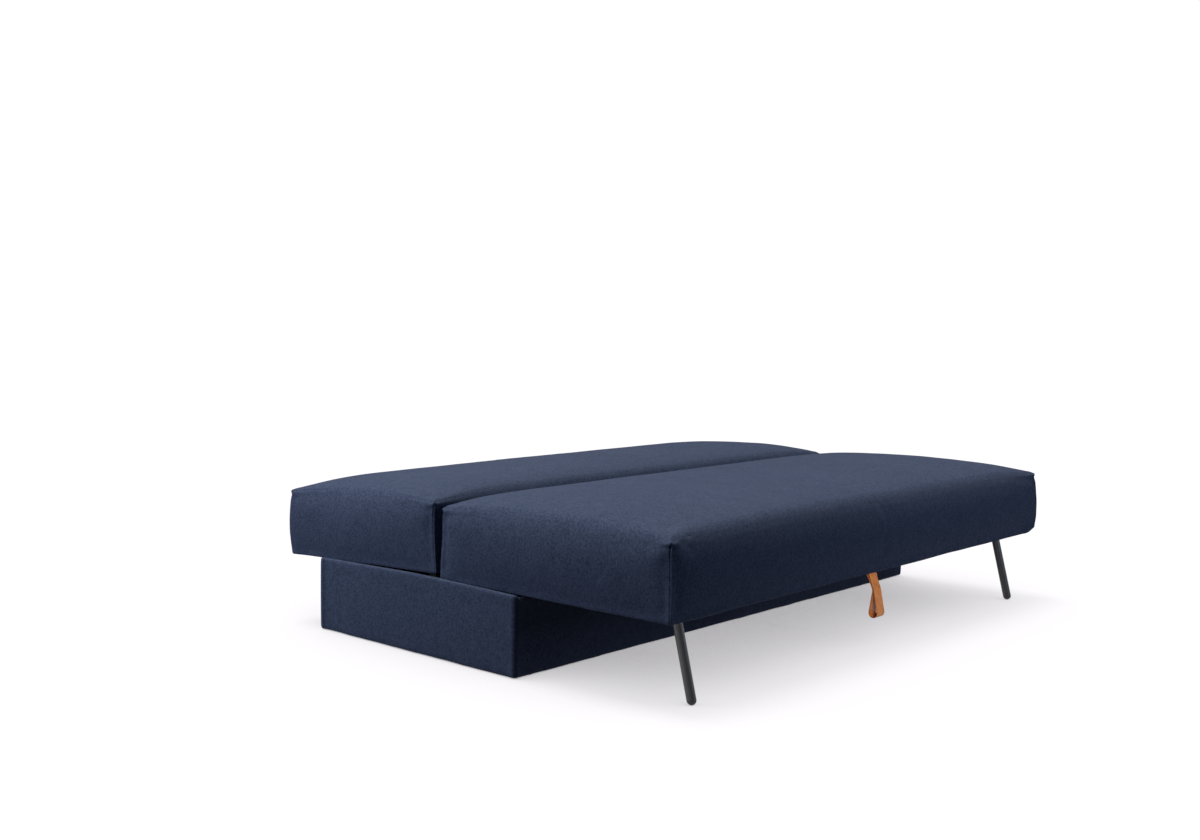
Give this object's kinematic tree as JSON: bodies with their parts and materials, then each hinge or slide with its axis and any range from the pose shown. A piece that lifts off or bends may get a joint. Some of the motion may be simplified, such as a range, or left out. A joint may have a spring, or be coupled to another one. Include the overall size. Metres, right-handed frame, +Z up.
{
  "type": "futon sofa bed",
  "caption": "Sofa bed stored as a flat double bed: a seat cushion that rolls over a storage box, and a back cushion hinged to it that folds upright.",
  "frame": {"origin": "on the floor, at the middle of the whole bed's outline", "axes": "+X along the long side of the bed, -Y towards the front where the legs and the pull strap are, +Z up"},
  "size_m": [2.04, 1.4178, 0.4531],
  "materials": {
    "board": "matte",
    "softwood": "matte",
    "wadding": "matte",
    "navy_fabric": "matte",
    "black_plastic": "matte",
    "zinc_steel": "satin",
    "black_rubber": "matte",
    "rail_wood": "matte",
    "slat_wood": "satin",
    "foam": "matte",
    "black_nonwoven": "matte",
    "black_steel": "satin",
    "white_nylon": "satin",
    "tan_leather": "satin"
  },
  "bodies": {
    "box": {"box_front_panel": "board", "box_rear_panel": "board", "box_left_panel": "board", "box_right_panel": "board", "box_bottom_panel": "board", "corner_blocks": "softwood", "box_battens": "softwood", "box_padding": "wadding", "box_cover": "navy_fabric", "box_glides": "black_plastic", "track_left": "zinc_steel", "track_right": "zinc_steel", "track_screws": "zinc_steel", "track_stops": "black_rubber", "rest_pads": "black_rubber"},
    "seat": {"seat_front_rail": "rail_wood", "seat_rear_rail": "rail_wood", "seat_left_rail": "rail_wood", "seat_right_rail": "rail_wood", "seat_mid_rail": "rail_wood", "seat_slats": "slat_wood", "seat_slat_holders": "black_plastic", "seat_foam": "foam", "seat_cover": "navy_fabric", "seat_dust_cover": "black_nonwoven", "mech_plate_left": "black_steel", "mech_plate_right": "black_steel", "mech_bolts": "zinc_steel", "hinge_pins": "zinc_steel", "roller_axles": "zinc_steel", "leg_left": "black_steel", "leg_right": "black_steel", "leg_plates": "black_steel", "leg_blocks": "softwood", "leg_screws": "zinc_steel", "leg_glides": "black_plastic", "strap_bracket": "black_steel", "strap_screws": "zinc_steel"},
    "back": {"back_end_rail": "rail_wood", "back_far_rail": "rail_wood", "back_left_rail": "rail_wood", "back_right_rail": "rail_wood", "back_mid_rail": "rail_wood", "back_slats": "slat_wood", "back_slat_holders": "black_plastic", "back_foam": "foam", "back_cover": "navy_fabric", "back_rear_fabric": "navy_fabric", "hinge_ear_left": "black_steel", "hinge_ear_right": "black_steel", "ear_bolts": "zinc_steel", "hinge_bushings": "white_nylon"},
    "roller_front_left": {"roller_front_left": "white_nylon"},
    "roller_rear_left": {"roller_rear_left": "white_nylon"},
    "roller_front_right": {"roller_front_right": "white_nylon"},
    "roller_rear_right": {"roller_rear_right": "white_nylon"},
    "pull_strap": {"pull_strap": "tan_leather"}
  },
  "joints": [
    {"name": "seat_slide", "type": "slide", "parent": "box", "child": "seat", "axis": [0, 1, 0], "range_m": [0, 0.36]},
    {"name": "back_fold", "type": "hinge", "parent": "seat", "child": "back", "pos_m": [0, 0.13811, 0.366], "axis": [1, 0, 0], "range_deg": [0, 84]},
    {"name": "roller_front_left_spin", "type": "hinge", "parent": "seat", "child": "roller_front_left", "pos_m": [0, -0.15, 0.141], "axis": [1, 0, 0], "continuous": true},
    {"name": "roller_rear_left_spin", "type": "hinge", "parent": "seat", "child": "roller_rear_left", "pos_m": [0, 0.01, 0.141], "axis": [1, 0, 0], "continuous": true},
    {"name": "roller_front_right_spin", "type": "hinge", "parent": "seat", "child": "roller_front_right", "pos_m": [0, -0.15, 0.141], "axis": [1, 0, 0], "continuous": true},
    {"name": "roller_rear_right_spin", "type": "hinge", "parent": "seat", "child": "roller_rear_right", "pos_m": [0, 0.01, 0.141], "axis": [1, 0, 0], "continuous": true},
    {"name": "strap_swing", "type": "hinge", "parent": "seat", "child": "pull_strap", "pos_m": [0, -0.66289, 0.2065], "axis": [1, 0, 0], "range_deg": [-65, 25], "stiffness_Nm_per_rad": 0.02, "springref_deg": -6.17}
  ],
  "couplings": [
    {"joint": "roller_front_left_spin", "follows": "seat_slide", "rad_per_m": -58.824},
    {"joint": "roller_rear_left_spin", "follows": "seat_slide", "rad_per_m": -58.824},
    {"joint": "roller_front_right_spin", "follows": "seat_slide", "rad_per_m": -58.824},
    {"joint": "roller_rear_right_spin", "follows": "seat_slide", "rad_per_m": -58.824}
  ]
}
